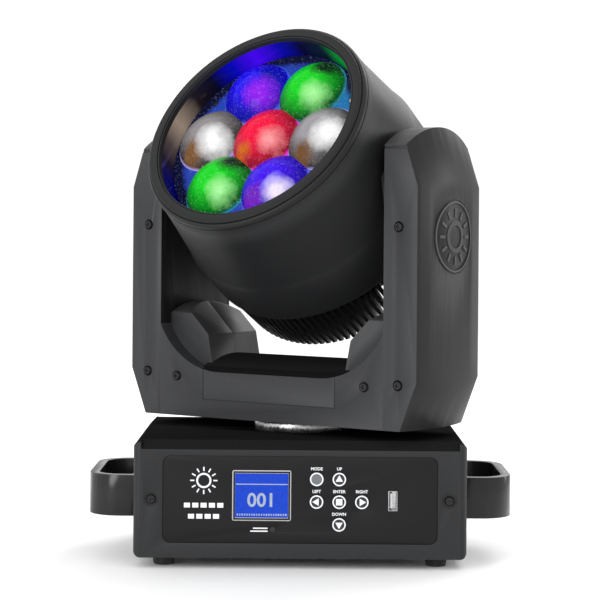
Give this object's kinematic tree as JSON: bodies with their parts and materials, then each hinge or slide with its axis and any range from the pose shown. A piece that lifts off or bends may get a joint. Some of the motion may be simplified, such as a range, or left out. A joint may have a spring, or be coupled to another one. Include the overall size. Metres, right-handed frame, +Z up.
{
  "type": "moving head light",
  "caption": "Motorised wash light: a base with display and keys, a panning two-armed yoke, and a tilting drum head with domed lenses, a zoom drive and a finned rear.",
  "frame": {"origin": "centre of the clamp hole pattern, in the underside of the base's bottom plate", "axes": "+Z up through the pan axis, -Y towards the display side of the base, +X to the right seen from the display side"},
  "size_m": [0.313, 0.2409, 0.3959],
  "materials": {
    "base_shell": "fine textured matte, charcoal",
    "bridge_front_cover": "fine textured matte, charcoal",
    "bridge_rear_cover": "fine textured matte, charcoal",
    "arm_cover_left": "fine textured matte, charcoal",
    "arm_cover_right": "fine textured matte, charcoal",
    "inner_covers": "fine textured matte, charcoal",
    "head_shell": "fine textured matte, charcoal",
    "front_ring": "fine textured matte, charcoal",
    "side_fairings": "fine textured matte, charcoal",
    "bottom_plate": "matte powder coat",
    "front_panel": "satin",
    "rear_panel": "satin",
    "lcd_bezel": "satin silver",
    "lcd_display": "glossy, blue when lit",
    "usb_port": "satin nickel",
    "dmx_input": "satin nickel",
    "dmx_output": "satin nickel",
    "indicator_lens": "clear",
    "power_inlet": "satin blue",
    "power_outlet": "satin grey",
    "handles": "satin",
    "rubber_feet": "matte",
    "base_screws": "black oxide",
    "yoke_screws": "black oxide",
    "pan_collar": "polished",
    "pan_post": "machined",
    "pan_gear": "machined",
    "pan_motor_pulley": "machined",
    "tilt_motor_pulley": "machined",
    "tilt_gear": "machined",
    "power_supply": "brushed",
    "main_board": "solder mask",
    "control_board": "solder mask",
    "driver_board": "solder mask",
    "mode_button": "satin",
    "up_button": "satin",
    "down_button": "satin",
    "left_button": "satin",
    "right_button": "satin",
    "enter_button": "satin",
    "yoke_frame": "zinc plated",
    "yoke_bearings": "ground",
    "guide_rods": "ground",
    "trunnions": "ground",
    "lead_screw": "ground",
    "pan_motor": "satin black",
    "tilt_motor": "satin black",
    "zoom_motor": "satin black",
    "pan_belt": "matte",
    "tilt_belt": "matte",
    "lens_barrel": "high gloss",
    "heatsink": "black anodised",
    "rear_grille": "satin black",
    "fan_frame": "matte",
    "fan_rotor": "matte",
    "lens_carrier": "matte",
    "led_board": "white solder mask",
    "led_emitters": "phosphor",
    "mixing_rods": "clear",
    "lens_array": "clear, moulded"
  },
  "bodies": {
    "base": {"base_shell": "base_shell", "bottom_plate": "bottom_plate", "front_panel": "front_panel", "rear_panel": "rear_panel", "lcd_bezel": "lcd_bezel", "lcd_display": "lcd_display", "usb_port": "usb_port", "indicator_lens": "indicator_lens", "power_inlet": "power_inlet", "power_outlet": "power_outlet", "dmx_input": "dmx_input", "dmx_output": "dmx_output", "handles": "handles", "rubber_feet": "rubber_feet", "base_screws": "base_screws", "pan_collar": "pan_collar", "pan_post": "pan_post", "pan_gear": "pan_gear", "power_supply": "power_supply", "main_board": "main_board", "control_board": "control_board"},
    "yoke": {"yoke_frame": "yoke_frame", "bridge_front_cover": "bridge_front_cover", "bridge_rear_cover": "bridge_rear_cover", "arm_cover_left": "arm_cover_left", "arm_cover_right": "arm_cover_right", "inner_covers": "inner_covers", "yoke_screws": "yoke_screws", "yoke_bearings": "yoke_bearings", "pan_motor": "pan_motor", "tilt_motor": "tilt_motor", "pan_belt": "pan_belt", "tilt_belt": "tilt_belt", "driver_board": "driver_board"},
    "head": {"head_shell": "head_shell", "front_ring": "front_ring", "lens_barrel": "lens_barrel", "heatsink": "heatsink", "rear_grille": "rear_grille", "fan_frame": "fan_frame", "led_board": "led_board", "led_emitters": "led_emitters", "mixing_rods": "mixing_rods", "trunnions": "trunnions", "tilt_gear": "tilt_gear", "side_fairings": "side_fairings", "guide_rods": "guide_rods", "zoom_motor": "zoom_motor"},
    "pan_drive": {"pan_motor_pulley": "pan_motor_pulley"},
    "tilt_drive": {"tilt_motor_pulley": "tilt_motor_pulley"},
    "fan": {"fan_rotor": "fan_rotor"},
    "zoom_screw": {"lead_screw": "lead_screw"},
    "zoom_optics": {"lens_carrier": "lens_carrier", "lens_array": "lens_array"},
    "mode_key": {"mode_button": "mode_button"},
    "up_key": {"up_button": "up_button"},
    "down_key": {"down_button": "down_button"},
    "left_key": {"left_button": "left_button"},
    "right_key": {"right_button": "right_button"},
    "enter_key": {"enter_button": "enter_button"}
  },
  "joints": [
    {"name": "pan", "type": "hinge", "parent": "base", "child": "yoke", "pos_m": [0, 0, 0.108], "axis": [0, 0, 1], "range_deg": [-236, 304]},
    {"name": "tilt", "type": "hinge", "parent": "yoke", "child": "head", "pos_m": [0, 0, 0.27059], "axis": [0.829, -0.5592, 0], "range_deg": [-181, 69]},
    {"name": "zoom", "type": "slide", "parent": "head", "child": "zoom_optics", "axis": [-0.4636, -0.6873, 0.5592], "range_m": [-0.02, 0.003]},
    {"name": "zoom_screw_spin", "type": "hinge", "parent": "head", "child": "zoom_screw", "pos_m": [0.06295, -0.01818, 0.30044], "axis": [-0.4636, -0.6873, 0.5592], "range_deg": [-140, 905]},
    {"name": "fan_spin", "type": "hinge", "parent": "head", "child": "fan", "pos_m": [0.02782, 0.04124, 0.23704], "axis": [-0.4636, -0.6873, 0.5592], "continuous": true},
    {"name": "pan_drive_spin", "type": "hinge", "parent": "yoke", "child": "pan_drive", "pos_m": [0.0713, -0.04809, 0.108], "axis": [0, 0, 1], "range_deg": [-1525, 1185]},
    {"name": "tilt_drive_spin", "type": "hinge", "parent": "yoke", "child": "tilt_drive", "pos_m": [-0.09285, 0.06263, 0.1329], "axis": [0.829, -0.5592, 0], "range_deg": [-910, 350]},
    {"name": "mode_press", "type": "slide", "parent": "base", "child": "mode_key", "axis": [0, 1, 0], "range_m": [0, 0.0008], "stiffness_N_per_m": 400, "springref_m": -0.0004},
    {"name": "up_press", "type": "slide", "parent": "base", "child": "up_key", "axis": [0, 1, 0], "range_m": [0, 0.0008], "stiffness_N_per_m": 400, "springref_m": -0.0004},
    {"name": "down_press", "type": "slide", "parent": "base", "child": "down_key", "axis": [0, 1, 0], "range_m": [0, 0.0008], "stiffness_N_per_m": 400, "springref_m": -0.0004},
    {"name": "left_press", "type": "slide", "parent": "base", "child": "left_key", "axis": [0, 1, 0], "range_m": [0, 0.0008], "stiffness_N_per_m": 400, "springref_m": -0.0004},
    {"name": "right_press", "type": "slide", "parent": "base", "child": "right_key", "axis": [0, 1, 0], "range_m": [0, 0.0008], "stiffness_N_per_m": 400, "springref_m": -0.0004},
    {"name": "enter_press", "type": "slide", "parent": "base", "child": "enter_key", "axis": [0, 1, 0], "range_m": [0, 0.0008], "stiffness_N_per_m": 400, "springref_m": -0.0004}
  ],
  "couplings": [
    {"joint": "pan_drive_spin", "follows": "pan", "ratio": -5},
    {"joint": "tilt_drive_spin", "follows": "tilt", "ratio": 5},
    {"joint": "zoom_screw_spin", "follows": "zoom", "rad_per_m": -785.4}
  ]
}
